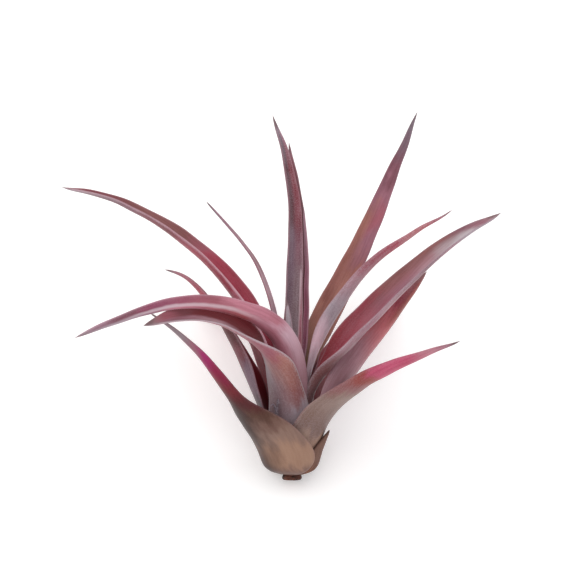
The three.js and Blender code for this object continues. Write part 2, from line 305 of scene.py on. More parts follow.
@dataclass(frozen=True)
class SurfaceGroups:
    """Shared surface effects, each a node group that is built once.

    Attributes:
        grain_mm: Size of the silver scales' speckle.
        streak_mm: Width of a lengthwise streak.
        streak_ratio: How many times longer than wide a streak is.
        cloud_per_mm: Patches per millimetre where the scales lie thicker.
        speckle_share: How much the speckle adds to the bloom.
        broad_share: How much streaks and patches add to it.
        vein_mm: Distance between two veins.
        vein_drift: How far the veins stray, in turns of their wave.
        mottle_ratio: Length of the drift of tone across the leaf over that along it.
    """

    grain_mm: float = 0.55
    streak_mm: float = 0.9
    streak_ratio: float = 14.0
    cloud_per_mm: float = 0.11
    speckle_share: float = 0.4
    broad_share: float = 0.3
    vein_mm: float = 0.85
    vein_drift: float = 3.0
    mottle_ratio: float = 0.35

    @staticmethod
    def start(name: str, takes: dict[str, str], gives: dict[str, str]) -> tuple[Any, Any, Any]:
        """Starts a node group.

        Args:
            name: The group's name.
            takes: Socket types of its inputs by name.
            gives: Socket types of its outputs by name.

        Returns:
            The bench, the group's input node and its output node.
        """
        tree = bpy.data.node_groups.new(name, "ShaderNodeTree")
        bench = NodeBench(tree)
        for way, sockets in (("INPUT", takes), ("OUTPUT", gives)):
            for label, kind in sockets.items():
                tree.interface.new_socket(label, in_out=way, socket_type=kind)
        return bench, bench.add("NodeGroupInput"), bench.add("NodeGroupOutput")

    def bloom(self) -> bpy.types.NodeTree:
        """Silver bloom of scales, as a mask, a height and lengthwise streaks.

        Returns:
            The node group.
        """
        bench, given, out = self.start(
            "silver_bloom", {"Span": VECTOR, "Amount": NUMBER},
            {"Mask": NUMBER, "Height": NUMBER, "Streak": NUMBER})
        span = given.outputs["Span"]
        grain = bench.noise(span, 1 / self.grain_mm, 3.0, 0.65)
        x, y, z = bench.parts(span)
        stretched = bench.vector(x, bench.math("DIVIDE", y, self.streak_ratio), z)
        streak = bench.noise(stretched, 1 / self.streak_mm, 2.0, 0.6)
        cloud = bench.noise(span, self.cloud_per_mm, 2.0, 0.5)
        speckle = bench.span(grain, 0.42, 0.62)
        drift = bench.total(bench.product(streak, 0.55), bench.product(cloud, 0.75))
        broad = bench.span(drift, 0.38, 0.9)
        cover = bench.total(bench.product(speckle, self.speckle_share),
                            bench.product(broad, self.broad_share))
        mask = bench.math("MINIMUM", bench.product(cover, given.outputs["Amount"]), 1.0)
        bench.feed(out, {"Mask": mask, "Height": grain, "Streak": streak})
        return bench.tree

    def veins(self) -> bpy.types.NodeTree:
        """Fine lengthwise veins, as a height.

        Returns:
            The node group.
        """
        bench, given, out = self.start("leaf_veins", {"Span": VECTOR}, {"Height": NUMBER})
        x, y, z = bench.parts(given.outputs["Span"])
        drift = bench.noise(bench.vector(x, bench.product(y, 0.12), z), 0.8, 1.0)
        wave = bench.math("SINE", bench.total(
            bench.product(x, 2 * math.pi / self.vein_mm), bench.product(drift, self.vein_drift)))
        bench.feed(out, {"Height": bench.total(bench.product(wave, 0.5), 0.5)})
        return bench.tree

    def mottle(self) -> bpy.types.NodeTree:
        """Slow drift of tone over a leaf, from 0 to 1.

        Returns:
            The node group.
        """
        bench, given, out = self.start(
            "leaf_mottle", {"Span": VECTOR, "Size": NUMBER}, {"Tone": NUMBER})
        x, y, z = bench.parts(given.outputs["Span"])
        cloud = bench.noise(
            bench.vector(x, bench.product(y, self.mottle_ratio), z),
            bench.math("DIVIDE", 1.0, given.outputs["Size"]), 3.0, 0.55)
        bench.feed(out, {"Tone": bench.span(cloud, 0.32, 0.68)})
        return bench.tree


class Shop:
    """Keeps the shared node groups and makes materials from the finishes."""

    def __init__(self) -> None:
        """Builds the node groups."""
        groups = SurfaceGroups()
        self.bloom = groups.bloom()
        self.veins = groups.veins()
        self.mottle = groups.mottle()

    @staticmethod
    def start(name: str) -> tuple[bpy.types.Material, NodeBench, Any]:
        """Starts a material with one principled shader.

        Args:
            name: The material's name.

        Returns:
            The material, its bench and the shader node.
        """
        material = bpy.data.materials.new(name)
        material.use_nodes = True
        bench = NodeBench(material.node_tree)
        shader = bench.add("ShaderNodeBsdfPrincipled")
        bench.add("ShaderNodeOutputMaterial", {"Surface": shader.outputs[0]})
        return material, bench, shader


@dataclass(frozen=True)
class LeafPlace:
    """Sockets that tell where a point lies on its leaf.

    Attributes:
        across: Share across the leaf, from -1 to 1.
        along: Share of the length, from the root.
        inside: 1 on the inner face and 0 on the outer one.
        across_mm: Distance from the midrib.
        along_mm: Distance from the root.
        margin_mm: Distance from the nearer margin.
    """

    across: Socket
    along: Socket
    inside: Socket
    across_mm: Socket
    along_mm: Socket
    margin_mm: Socket

    @classmethod
    def read(cls, bench: NodeBench) -> "LeafPlace":
        """Reads the two attributes that every leaf carries.

        Args:
            bench: The material's bench.

        Returns:
            The place.
        """
        sockets = []
        for name in (SHARE_LAYER, SPAN_LAYER):
            layer = bench.add("ShaderNodeAttribute", attribute_name=name)
            sockets += bench.parts(layer.outputs["Vector"])
        return cls(*sockets)


@dataclass(frozen=True)
class LeafPattern:
    """What the patterns of all living leaves share.

    Attributes:
        face_gap_mm: Offset between the patterns of the two faces.
        face_blend: Shares inward where the inner face's colour begins and is full.
        side_blend: Half the share of the width over which two outer colours blend.
        mottle_mm: Size of the slow drift of tone.
        drift: Share of the length by which the drift moves the hues.
        side_drift: How many times further it moves them across.
        tone: Shade of the drift.
        tone_share: How much of it shows.
        streak: Shade of the lengthwise streaks.
        streak_share: How much of it shows.
        scales: Colour of the silver scales.
        midrib: Colour of the stripe along the midrib, denser scales with a painted highlight on
            the rounded midrib.
        rim_mm: Where the pale band inside the margin, scales and partly a painted highlight on
            the edge, begins and is full.
        margin_mm: Where the pale margin line, partly a painted highlight on the edge, begins and
            is full.
        dry_share: How much of the dried end's hue shows.
        dry_fade: Shares of the length before and after its start where it fades in.
        relief: How much of the relief shows.
        relief_mm: How deep veins and scales are together.
        smooth: Roughness of the bare leaf.
        dusty: Roughness under the thickest bloom.
    """

    face_gap_mm: float = 7.0
    face_blend: tuple[float, float] = (0.35, 0.65)
    side_blend: float = 0.45
    mottle_mm: float = 6.0
    drift: float = 0.05
    side_drift: float = 4.0
    tone: str = "a88078"
    tone_share: float = 0.22
    streak: str = "8c6c6e"
    streak_share: float = 0.16
    scales: str = "d2c8d0"
    midrib: str = "e2d2da"
    rim_mm: tuple[float, float] = (2.1, 0.5)
    margin_mm: tuple[float, float] = (0.8, 0.1)
    dry_share: float = 0.8
    dry_fade: tuple[float, float] = (0.03, 0.01)
    relief: float = 0.35
    relief_mm: float = 0.12
    smooth: float = 0.42
    dusty: float = 0.66


@dataclass(frozen=True)
class LeafFinish:
    """Colours of one living leaf from its root (0) to its tip (1).

    Attributes:
        outer: Outer face on the side of the higher heading.
        inner: Inner face on that side.
        outer_far: Outer face on the other side, where it differs.
        inner_far: Inner face on the other side, where it differs.
        bloom: Strength of the silver bloom on the outer face.
        inner_bloom: Strength of the bloom on the inner face.
        keel_scales_and_sheen: Strength of the silver stripe along the outer side of the midrib:
            denser scales and partly a painted highlight.
        rim: Extra bloom in a band inside the margin of the higher heading, partly a painted
            highlight on the edge.
        rim_far: Extra bloom in a band inside the other margin, partly a painted highlight on the
            edge.
        turn: Where across the inner face its two colours meet.
        meet: Half the share of the width over which they blend.
        margin: Hue of the thin margin line, partly a painted highlight on the edge.
        edging: How much of the margin line's hue shows.
        far_edge: Share of that on the margin of the lower heading.
        tip: Hue of the dried end.
        tip_from: Share of the length where the dried end starts.
        pattern: What it shares with the other leaves.
        seed: Offset that keeps two leaves' patterns apart.
    """

    outer: tuple[Stop, ...]
    inner: tuple[Stop, ...]
    outer_far: tuple[Stop, ...] | None = None
    inner_far: tuple[Stop, ...] | None = None
    bloom: float = 0.3
    inner_bloom: float = 0.16
    keel_scales_and_sheen: float = 0.15
    rim: float = 0.12
    rim_far: float = 0.12
    turn: float = 0.0
    meet: float = 0.4
    margin: Hue = Hue.PETAL
    edging: float = 0.4
    far_edge: float = 1.0
    tip: Hue = Hue.TAUPE
    tip_from: float = 0.988
    pattern: LeafPattern = LeafPattern()
    seed: float = 0.0

    def ground(self, bench: NodeBench, reach: Socket, side: Socket, inner: Socket) -> Socket:
        """Colour of the living leaf, without bloom and margin.

        Args:
            bench: The material's bench.
            reach: Share of the length, a little mottled.
            side: Share across the leaf, a little mottled.
            inner: 1 on the inner face.

        Returns:
            The colour.
        """
        outer_colour = bench.ramp(reach, self.outer)
        if self.outer_far:
            outer_colour = bench.mix(
                bench.span(side, -self.pattern.side_blend, self.pattern.side_blend),
                outer_colour, bench.ramp(reach, self.outer_far))
        inner_colour = bench.ramp(reach, self.inner)
        if self.inner_far:
            beyond = bench.span(side, self.turn - self.meet, self.turn + self.meet)
            inner_colour = bench.mix(beyond, inner_colour, bench.ramp(reach, self.inner_far))
        return bench.mix(inner, outer_colour, inner_colour)

    def dusting(self, bench: NodeBench, at: LeafPlace, inner: Socket) -> Socket:
        """How thickly the silver scales lie; the band inside the margins is partly a painted
        highlight.

        Args:
            bench: The material's bench.
            at: The place on the leaf.
            inner: 1 on the inner face.

        Returns:
            The amount of bloom.
        """
        faces = bench.add("ShaderNodeMix", {0: inner, 2: self.bloom, 3: self.inner_bloom})
        ends = bench.total(bench.span(at.along, 0.62, 0.25, 0.5, 1.0),
                           bench.span(at.along, 0.75, 0.95, 0.0, 0.35))
        # Band inside the margins: scales and partly a painted highlight on the edges.
        band = bench.span(at.margin_mm, *self.pattern.rim_mm)
        return bench.total(
            bench.product(faces.outputs[0], ends),
            bench.product(band, bench.span(at.across, -0.2, 0.2, self.rim, self.rim_far)))

    def stripe(self, bench: NodeBench, at: LeafPlace, side: Socket, inner: Socket) -> Socket:
        """Silver stripe along the outer side of the midrib: denser scales and partly a painted
        highlight.

        Args:
            bench: The material's bench.
            at: The place on the leaf.
            side: Share across the leaf, a little mottled.
            inner: 1 on the inner face.

        Returns:
            How much of the stripe shows.
        """
        middle = bench.span(bench.math("ABSOLUTE", side), 0.34, 0.05)
        return bench.product(
            bench.product(middle, bench.math("SUBTRACT", 1.0, inner)),
            bench.product(bench.span(at.along, 0.38, 0.6), bench.span(at.along, 0.95, 0.75)),
            self.keel_scales_and_sheen)

    def material(self, shop: Shop, name: str) -> bpy.types.Material:
        """Makes the leaf's material.

        Args:
            shop: Where the shared node groups are kept.
            name: The material's name.

        Returns:
            The material.
        """
        material, bench, shader = shop.start(name)
        look = self.pattern
        at = LeafPlace.read(bench)
        inner = bench.span(at.inside, *look.face_blend)
        depth = bench.total(bench.product(inner, look.face_gap_mm), self.seed)
        place = bench.vector(at.across_mm, at.along_mm, depth)

        tone = bench.add("ShaderNodeGroup", {"Span": place, "Size": look.mottle_mm},
                         node_tree=shop.mottle).outputs["Tone"]
        shift = bench.product(bench.math("SUBTRACT", tone, 0.5), look.drift)
        reach = bench.total(at.along, shift)
        side = bench.total(at.across, bench.product(shift, look.side_drift))
        colour = self.ground(bench, reach, side, inner)
        colour = bench.mix(
            bench.product(tone, look.tone_share), colour, linear(look.tone), Blend.SHADE)

        amount = self.dusting(bench, at, inner)
        bloom = bench.add("ShaderNodeGroup", {"Span": place, "Amount": amount},
                          node_tree=shop.bloom)
        blade = bench.span(at.along, 0.2, 0.42, 0.2, 1.0)
        streak = bench.span(bloom.outputs["Streak"], 0.58, 0.38, 0.0, look.streak_share)
        colour = bench.mix(
            bench.product(streak, blade), colour, linear(look.streak), Blend.SHADE)
        colour = bench.mix(bloom.outputs["Mask"], colour, linear(look.scales))
        # Midrib stripe: partly a painted highlight along the rounded midrib, over denser scales.
        colour = bench.mix(self.stripe(bench, at, side, inner), colour, linear(look.midrib))

        # Pale margin line: partly a painted highlight on the edge.
        edge = bench.product(bench.span(at.margin_mm, *look.margin_mm, 0.0, self.edging),
                             bench.span(at.across, -0.2, 0.2, 1.0, self.far_edge))
        colour = bench.mix(edge, colour, linear(self.margin.value))
        before, after = look.dry_fade
        dry = bench.span(reach, self.tip_from - before, self.tip_from + after)
        colour = bench.mix(bench.product(dry, look.dry_share), colour, linear(self.tip.value))

        veins = bench.add("ShaderNodeGroup", {"Span": place},
                          node_tree=shop.veins).outputs["Height"]
        height = bench.total(bench.product(veins, bench.product(blade, 0.5)),
                             bench.product(bloom.outputs["Height"], 0.6))
        bench.feed(shader, {
            "Base Color": colour,
            "Roughness": bench.span(bloom.outputs["Mask"], 0.0, 0.6, look.smooth, look.dusty),
            "Normal": bench.bump(height, look.relief, look.relief_mm),
            "Specular IOR Level": 0.22, "Sheen Weight": 0.01, "Sheen Roughness": 0.45,
        })
        return material


@dataclass(frozen=True)
class PaperyFinish:
    """Dried outer sheath: brown, fibrous and matte.

    Attributes:
        pale: The lighter fibres.
        dark: The darker fibres.
        stain: Colour of the broad stains.
        top: Colour of the greyer upper half.
        rim: Colour of the darker edge.
        fibre_ratio: Width of a fibre over its length.
        relief_mm: How deep the fibres are.
        seed: Offset that keeps two sheaths' patterns apart.
    """

    pale: str = "80543e"
    dark: str = "4a241a"
    stain: str = "6e4a34"
    top: str = "74584e"
    rim: str = "3c1e16"
    fibre_ratio: float = 0.08
    relief_mm: float = 0.25
    seed: float = 0.0

    def material(self, shop: Shop, name: str) -> bpy.types.Material:
        """Makes the dried sheath's material.

        Args:
            shop: Where materials are started.
            name: The material's name.

        Returns:
            The material.
        """
        material, bench, shader = shop.start(name)
        at = LeafPlace.read(bench)
        strands = bench.product(at.along_mm, self.fibre_ratio)
        drawn = bench.vector(at.across_mm, strands, self.seed)
        fibre = bench.noise(drawn, 2.4, 4.0, 0.65)
        colour = bench.mix(bench.span(fibre, 0.35, 0.68), linear(self.dark), linear(self.pale))
        place = bench.vector(at.across_mm, at.along_mm, self.seed)
        blotch = bench.noise(place, 0.22, 3.0, 0.6)
        colour = bench.mix(bench.span(blotch, 0.45, 0.75, 0.0, 0.6), colour, linear(self.stain))
        colour = bench.mix(bench.span(at.along, 0.2, 0.5, 0.0, 0.7), colour, linear(self.top))
        rim = bench.math("MAXIMUM", bench.span(at.margin_mm, 1.2, 0.1),
                         bench.span(at.along, 0.85, 1.0))
        colour = bench.mix(bench.product(rim, 0.6), colour, linear(self.rim))
        bench.feed(shader, {
            "Base Color": colour, "Roughness": bench.span(fibre, 0.3, 0.7, 0.85, 0.68),
            "Normal": bench.bump(fibre, 0.6, self.relief_mm), "Specular IOR Level": 0.25,
        })
        return material


@dataclass(frozen=True)
class StubFinish:
    """Woody cut stub: dark bark with a paler, fibrous cut face.

    Attributes:
        axis: The stem's direction.
        foot: The middle of the cut face.
        bark: Colour of the sides.
        crack: Colour in the cracks.
        wood: Colour of the cut face.
        ring_turn: Turn of the rings' wave in each millimetre, in radians.
        relief_mm: How deep the cracks are.
    """

    axis: Vector
    foot: Vector
    bark: str = "5e3020"
    crack: str = "27100a"
    wood: str = "8a5c40"
    ring_turn: float = 9.5
    relief_mm: float = 0.4

    def material(self, shop: Shop, name: str) -> bpy.types.Material:
        """Makes the stub's material.

        Args:
            shop: Where materials are started.
            name: The material's name.

        Returns:
            The material.
        """
        material, bench, shader = shop.start(name)
        place = bench.add("ShaderNodeTexCoord").outputs["Object"]
        grain = bench.noise(place, 900.0, 4.0, 0.65)
        lumps = bench.noise(place, 260.0, 3.0, 0.6)
        normal = bench.add("ShaderNodeNewGeometry").outputs["Normal"]
        facing = bench.add("ShaderNodeVectorMath", {0: normal, 1: -self.axis},
                           operation="DOT_PRODUCT")
        cut = bench.span(facing.outputs["Value"], 0.75, 0.95)
        from_foot = bench.add("ShaderNodeVectorMath", {0: place, 1: self.foot},
                              operation="DISTANCE")
        turns = bench.product(from_foot.outputs["Value"], self.ring_turn / MM)
        ring = bench.total(bench.product(bench.math("SINE", turns), 0.2), grain)
        bark = bench.mix(bench.span(lumps, 0.38, 0.62), linear(self.crack), linear(self.bark))
        wood = bench.mix(bench.span(ring, 0.3, 0.8), linear(self.bark), linear(self.wood))
        colour = bench.mix(cut, bark, wood)
        height = bench.total(lumps, bench.product(grain, 0.4))
        bench.feed(shader, {
            "Base Color": colour, "Roughness": bench.span(grain, 0.3, 0.7, 0.92, 0.75),
            "Normal": bench.bump(height, 0.8, self.relief_mm),
        })
        return material


@dataclass(frozen=True)
class ShootFinish:
    """Young side shoot, pale under its bloom.

    Attributes:
        dark: Colour of its darker patches.
        pale: Colour of its paler patches.
        scales: Colour of the silver speckle.
        relief_mm: How deep the speckle is.
    """

    dark: str = "54424a"
    pale: str = "7c6c78"
    scales: str = "d6ccd2"
    relief_mm: float = 0.1

    def material(self, shop: Shop, name: str) -> bpy.types.Material:
        """Makes the side shoot's material.

        Args:
            shop: Where materials are started.
            name: The material's name.

        Returns:
            The material.
        """
        material, bench, shader = shop.start(name)
        place = bench.add("ShaderNodeTexCoord").outputs["Object"]
        grain = bench.noise(place, 1600.0, 3.0, 0.6)
        patch = bench.noise(place, 300.0, 2.0, 0.5)
        colour = bench.mix(bench.span(patch, 0.35, 0.65), linear(self.dark), linear(self.pale))
        colour = bench.mix(bench.span(grain, 0.4, 0.7, 0.0, 0.2), colour, linear(self.scales))
        bench.feed(shader, {
            "Base Color": colour, "Roughness": bench.span(grain, 0.3, 0.7, 0.55, 0.7),
            "Normal": bench.bump(grain, 0.4, self.relief_mm),
        })
        return material


Spot = tuple[int, Face]
Place = tuple[int, int, Face]


class LeafMap:
    """Finds where each vertex of a merged leaf lies along and across the leaf.

    A leaf is a stack of rings that ends in one point. Counting edges down from that point
    gives the ring, and the way the triangles lean gives the place in the ring. A spot is a
    column and a face, and a place is a row, a column and a face.
    """

    def __init__(self, mesh: bpy.types.Mesh) -> None:
        """Reads the mesh and labels its vertices.

        Args:
            mesh: The leaf's merged mesh.
        """
        self.mesh = mesh
        self.near: dict[int, set[int]] = {v.index: set() for v in mesh.vertices}
        for edge in mesh.edges:
            one, two = edge.vertices
            self.near[one].add(two)
            self.near[two].add(one)
        self.apex = max(self.near, key=lambda index: len(self.near[index]))
        self.columns = len(self.near[self.apex]) // 2
        self.rings = self.find_rings()
        self.places: dict[int, Place] = {}
        self.label()

    def find_rings(self) -> list[list[int]]:
        """Finds the rings of vertices.

        Returns:
            The rings, counted from the tip down.
        """
        seen = {self.apex}
        front = [self.apex]
        rings = []
        while front:
            reached = sorted({n for v in front for n in self.near[v]} - seen)
            seen.update(reached)
            if reached:
                rings.append(reached)
            front = reached
        return rings

    def round_tip(self) -> list[int]:
        """Goes round the top ring in the way that the triangles at the tip wind.

        Returns:
            The ring's vertices in order.
        """
        after = {}
        for face in self.mesh.polygons:
            corners = list(face.vertices)
            if self.apex in corners:
                at = corners.index(self.apex)
                after[corners[(at + 1) % 3]] = corners[(at + 2) % 3]
        order = [self.rings[0][0]]
        while len(order) < len(self.rings[0]):
            order.append(after[order[-1]])
        return order

    def pattern(self) -> dict[frozenset[Spot], Spot]:
        """Lists what each place in a ring touches in the ring above it.

        Returns:
            Places in a ring by the places that they touch.
        """
        last = self.columns - 1
        touches = {}
        for face in Face:
            for j in range(self.columns):
                above = {(j, face)}
                if j < last:
                    above.add((j + 1, face))
                if face is Face.INNER and j in (0, last):
                    above.add((j, Face.OUTER))
                touches[frozenset(above)] = (j, face)
        return touches

    def label(self) -> None:
        """Labels every vertex with its ring from the root, its column and its face."""
        touches = self.pattern()
        order = self.round_tip()
        count = len(order)
        round_trip = [(j, Face.INNER) for j in range(self.columns)]
        round_trip += [(j, Face.OUTER) for j in reversed(range(self.columns))]
        for turn in range(count):
            trial = {order[(turn + k) % count]: round_trip[k] for k in range(count)}
            if self.step(trial, self.rings[1], touches) is not None:
                self.spread(trial, touches)
                return
        raise ValueError("a leaf's triangles do not lean one way")

    def step(self, above: dict[int, Spot], ring: list[int],
             touches: dict[frozenset[Spot], Spot]) -> dict[int, Spot] | None:
        """Labels one ring from the ring above it.

        Args:
            above: Labels of the ring above.
            ring: The ring's vertices.
            touches: Places in a ring by the places that they touch.

        Returns:
            The ring's labels, or None where they do not fit.
        """
        found = {}
        for vertex in ring:
            key = frozenset(above[n] for n in self.near[vertex] if n in above)
            if key not in touches:
                return None
            found[vertex] = touches[key]
        return found if len(set(found.values())) == len(ring) else None

    def spread(self, top: dict[int, Spot], touches: dict[frozenset[Spot], Spot]) -> None:
        """Carries the labels of the top ring down to the root.

        Args:
            top: Labels of the top ring.
            touches: Places in a ring by the places that they touch.
        """
        labels = top
        count = len(self.rings)
        for number, ring in enumerate(self.rings):
            if number:
                labels = self.step(labels, ring, touches)
                if labels is None:
                    raise ValueError("a leaf's rings do not follow each other")
            for vertex, (column, face) in labels.items():
                self.places[vertex] = (count - 1 - number, column, face)

    def edges(self) -> Iterator[tuple[int, Place, Place]]:
        """Goes through the edges that do not end in the tip.

        Yields:
            An edge's number and the places of its two ends.
        """
        for edge in self.mesh.edges:
            if self.apex not in edge.vertices:
                one, two = edge.vertices
                yield edge.index, self.places[one], self.places[two]

    def leaning(self) -> list[int]:
        """Numbers of the edges that cross a four-sided patch from corner to corner."""
        return [index for index, one, two in self.edges()
                if sum(a != b for a, b in zip(one, two)) > 1]

    def margins(self) -> list[int]:
        """Numbers of the edges that run along the two margins."""
        ends = (0, self.columns - 1)
        return [index for index, one, two in self.edges()
                if one[1:] == two[1:] and one[0] != two[0] and one[1] in ends]

    def shares(self) -> tuple[list[Vector], list[Vector]]:
        """Each vertex's place on the leaf.

        Returns:
            Shares (across from -1 to 1, along from 0 to 1, 1 on the inner face), and the
            same place in millimetres (across, along, distance from the margin).
        """
        at = {place: self.mesh.vertices[v].co for v, place in self.places.items()}
        rows = len(self.rings)
        middle = (self.columns - 1) // 2
        spine = [(at[row, middle, Face.INNER] + at[row, middle, Face.OUTER]) / 2
                 for row in range(rows)]
        spine.append(self.mesh.vertices[self.apex].co.copy())
        reach = [0.0]
        for one, two in zip(spine, spine[1:]):
            reach.append(reach[-1] + (two - one).length)
        widths = {}
        for row in range(rows):
            for face in Face:
                gaps = [(at[row, j + 1, face] - at[row, j, face]).length
                        for j in range(self.columns - 1)]
                left, right = sum(gaps[:middle]), sum(gaps[middle:])
                widths[row, face] = (left, right, gaps)
        shares = [Vector((0, 1, 0.5))] * len(self.mesh.vertices)
        spans = [Vector((0, reach[-1] / MM, 0))] * len(self.mesh.vertices)
        for vertex, (row, column, face) in self.places.items():
            left, right, gaps = widths[row, face]
            arc = sum(gaps[:column]) - left
            margin = left + arc if column <= middle else right - arc
            across = 2 * column / (self.columns - 1) - 1
            shares[vertex] = Vector((across, reach[row] / reach[-1], float(face.value)))
            spans[vertex] = Vector((arc, reach[row], margin)) / MM
        return shares, spans


def solo(piece: bpy.types.Object) -> None:
    """Selects one object alone and makes it active.

    Args:
        piece: The object.
    """
    bpy.ops.object.select_all(action="DESELECT")
    piece.select_set(True)
    bpy.context.view_layer.objects.active = piece


def copy_node(node: str) -> bpy.types.Object:
    """Copies a CAD node into a new piece and merges its triangles.

    Args:
        node: The CAD node's name.

    Returns:
        The new piece, at the origin.
    """
    solo(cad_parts[node])
    bpy.ops.object.duplicate()
    piece = bpy.context.view_layer.objects.active
    piece.name = piece.data.name = f"{node}_skin"
    for key in [k for k in piece.keys() if k.startswith("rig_")]:
        del piece[key]
    piece.parent = None
    piece.matrix_world = Matrix.Identity(4)
    piece.data.materials.clear()
    solo(piece)
    bpy.ops.object.mode_set(mode="EDIT")
    bpy.ops.mesh.select_all(action="SELECT")
    bpy.ops.mesh.remove_doubles(threshold=MERGE_DISTANCE)
    bpy.ops.object.mode_set(mode="OBJECT")
    return piece


def hand_over(piece: bpy.types.Object, node: str) -> None:
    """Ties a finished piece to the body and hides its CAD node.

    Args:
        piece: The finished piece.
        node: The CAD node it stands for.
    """
    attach(piece, BODY)
    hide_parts(node)
    LOG.info("%s: %d faces", piece.name, len(piece.data.polygons))


def smooth(piece: bpy.types.Object) -> None:
    """Shades a piece smooth."""
    solo(piece)
    bpy.ops.object.shade_smooth()


def apply_modifier(piece: bpy.types.Object, name: str, kind: str, **settings: Any) -> None:
    """Gives a piece a modifier and applies it.

    Args:
        piece: The piece.
        name: The modifier's name.
        kind: The modifier's type.
        settings: Properties of the modifier.
    """
    solo(piece)
    modifier = piece.modifiers.new(name, kind)
    for label, value in settings.items():
        setattr(modifier, label, value)
    bpy.ops.object.modifier_apply(modifier=modifier.name)


@contextmanager
def chosen(piece: bpy.types.Object, element: Element, indices: list[int]) -> Iterator[None]:
    """Opens a piece in edit mode with some of its elements selected.

    Args:
        piece: The piece.
        element: The kind of elements.
        indices: Their numbers.

    Yields:
        Nothing, while the piece is open.
    """
    mode, elements = element.value
    solo(piece)
    bpy.ops.object.mode_set(mode="EDIT")
    bpy.ops.mesh.select_mode(type=mode)
    bpy.ops.mesh.select_all(action="DESELECT")
    bpy.ops.object.mode_set(mode="OBJECT")
    for index in indices:
        getattr(piece.data, elements)[index].select = True
    bpy.ops.object.mode_set(mode="EDIT")
    yield
    bpy.ops.object.mode_set(mode="OBJECT")


@dataclass(frozen=True)
class GrownShape:
    """How a copied piece is rounded and made uneven, as grown things are.

    Attributes:
        levels: Subdivision levels.
        crease: How firmly the margins hold their edge.
        waver_mm: How far the shape wanders.
        waver_size_mm: Distance over which it wanders.
    """

    levels: int = 2
    crease: float = 0.55
    waver_mm: float = 0.35
    waver_size_mm: float = 13.0

    def wander(self) -> bpy.types.Texture:
        """Makes the slow wandering that every piece of the plant shares, once.

        Returns:
            The texture.
        """
        name = "grown_wander"
        found = bpy.data.textures.get(name)
        if found is None:
            found = bpy.data.textures.new(name, "CLOUDS")
            found.cloud_type = "COLOR"
            found.noise_scale = self.waver_size_mm * MM
            found.noise_depth = 0
        return found

    def round_off(self, piece: bpy.types.Object) -> None:
        """Subdivides a piece and lets it wander.

        Args:
            piece: The piece to shape.
        """
        apply_modifier(piece, "rounding", "SUBSURF", levels=self.levels,
                       render_levels=self.levels)
        apply_modifier(piece, "wander", "DISPLACE", texture=self.wander(),
                       texture_coords="LOCAL", direction="RGB_TO_XYZ",
                       strength=2 * self.waver_mm * MM, mid_level=0.5)
        smooth(piece)


@dataclass
class PlantPart:
    """A part of the plant that takes the place of one CAD node.

    Attributes:
        node: The CAD node it stands for.
        slot: Name of a material slot; not used.
        finish: Its finish.
        shape: How it is rounded.
    """

    node: str
    slot: str
    finish: LeafFinish | PaperyFinish | StubFinish | ShootFinish
    shape: GrownShape = GrownShape()

    def build(self) -> bpy.types.Object:
        """Builds the part's mesh.

        Returns:
            The new piece.
        """
        piece = copy_node(self.node)
        self.shape.round_off(piece)
        return piece

    def dress(self, piece: bpy.types.Object, shop: Shop) -> None:
        """Gives the part's finished piece its material and hands it over."""
        piece.data.materials.append(self.finish.material(shop, f"{self.node}_finish"))
        hand_over(piece, self.node)


class SideShoot(PlantPart):
    """The small shoot beside the bulb."""


class Leaf(PlantPart):
    """One leaf or dried sheath of the rosette."""

    def build(self) -> bpy.types.Object:
        """Builds the leaf's mesh, which carries the place of each point on the leaf.

        Returns:
            The new piece.
        """
        piece = copy_node(self.node)
        grid = LeafMap(piece.data)
        shares, spans = grid.shares()
        for name, values in ((SHARE_LAYER, shares), (SPAN_LAYER, spans)):
            layer = piece.data.attributes.new(name, "FLOAT_VECTOR", "POINT")
            layer.data.foreach_set("vector", [n for value in values for n in value])
        leaning, margins = grid.leaning(), grid.margins()
        with chosen(piece, Element.VERTEX, [grid.apex]):
            bpy.ops.transform.vert_crease(value=1.0)
        with chosen(piece, Element.EDGE, margins):
            bpy.ops.transform.edge_crease(value=self.shape.crease)
        with chosen(piece, Element.EDGE, leaning):
            bpy.ops.mesh.dissolve_edges(use_verts=False)
        self.shape.round_off(piece)
        return piece


@dataclass
class Stem(PlantPart):
    """The woody stub and the short axis that the leaves grow from.

    Attributes:
        levels: How often the bark's faces are split.
        knob_mm: Depth of the bark's knobs.
        knob_size_mm: Distance between them.
        knob_level: Share of their height that lies under the plain surface.
    """

    levels: int = 3
    knob_mm: float = 0.35
    knob_size_mm: float = 2.2
    knob_level: float = 0.75

    def build(self) -> bpy.types.Object:
        """Builds the stub's mesh.

        Returns:
            The new piece.
        """
        piece = copy_node(self.node)
        apply_modifier(piece, "finer", "SUBSURF", subdivision_type="SIMPLE",
                       levels=self.levels, render_levels=self.levels)
        knobs = bpy.data.textures.new("stub_knobs", "CLOUDS")
        knobs.noise_scale = self.knob_size_mm * MM
        apply_modifier(piece, "knobs", "DISPLACE", texture=knobs, texture_coords="LOCAL",
                       strength=self.knob_mm * MM, mid_level=self.knob_level)
        smooth(piece)
        return piece


@dataclass
class Pose:
    """How the plant lies: its own upright frame, seen from the frame of the part.

    Attributes:
        foot: Middle of the stub's cut face.
        turn: Turns the plant's own directions into the part's.
    """

    foot: Vector
    turn: Matrix

    @classmethod
    def read(cls) -> "Pose":
        """Finds the plant's foot from the stem's vertices.

        Returns:
            The pose.
        """
        turn = Matrix.Rotation(-LEAN, 3, "X")
        axis = turn @ Vector((0, 0, 1))
        places = [v.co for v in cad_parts["stem"].data.vertices]
        lowest = min(p.dot(axis) for p in places)
        cut = [p for p in places if p.dot(axis) - lowest < CUT_TOLERANCE_MM * MM]
        return cls(sum(cut, Vector()) / len(cut), turn)

    def out(self, x_mm: float, y_mm: float, z_mm: float) -> Vector:
        """Point of the plant's own frame, in the part's frame."""
        return self.foot + self.turn @ (Vector((x_mm, y_mm, z_mm)) * MM)


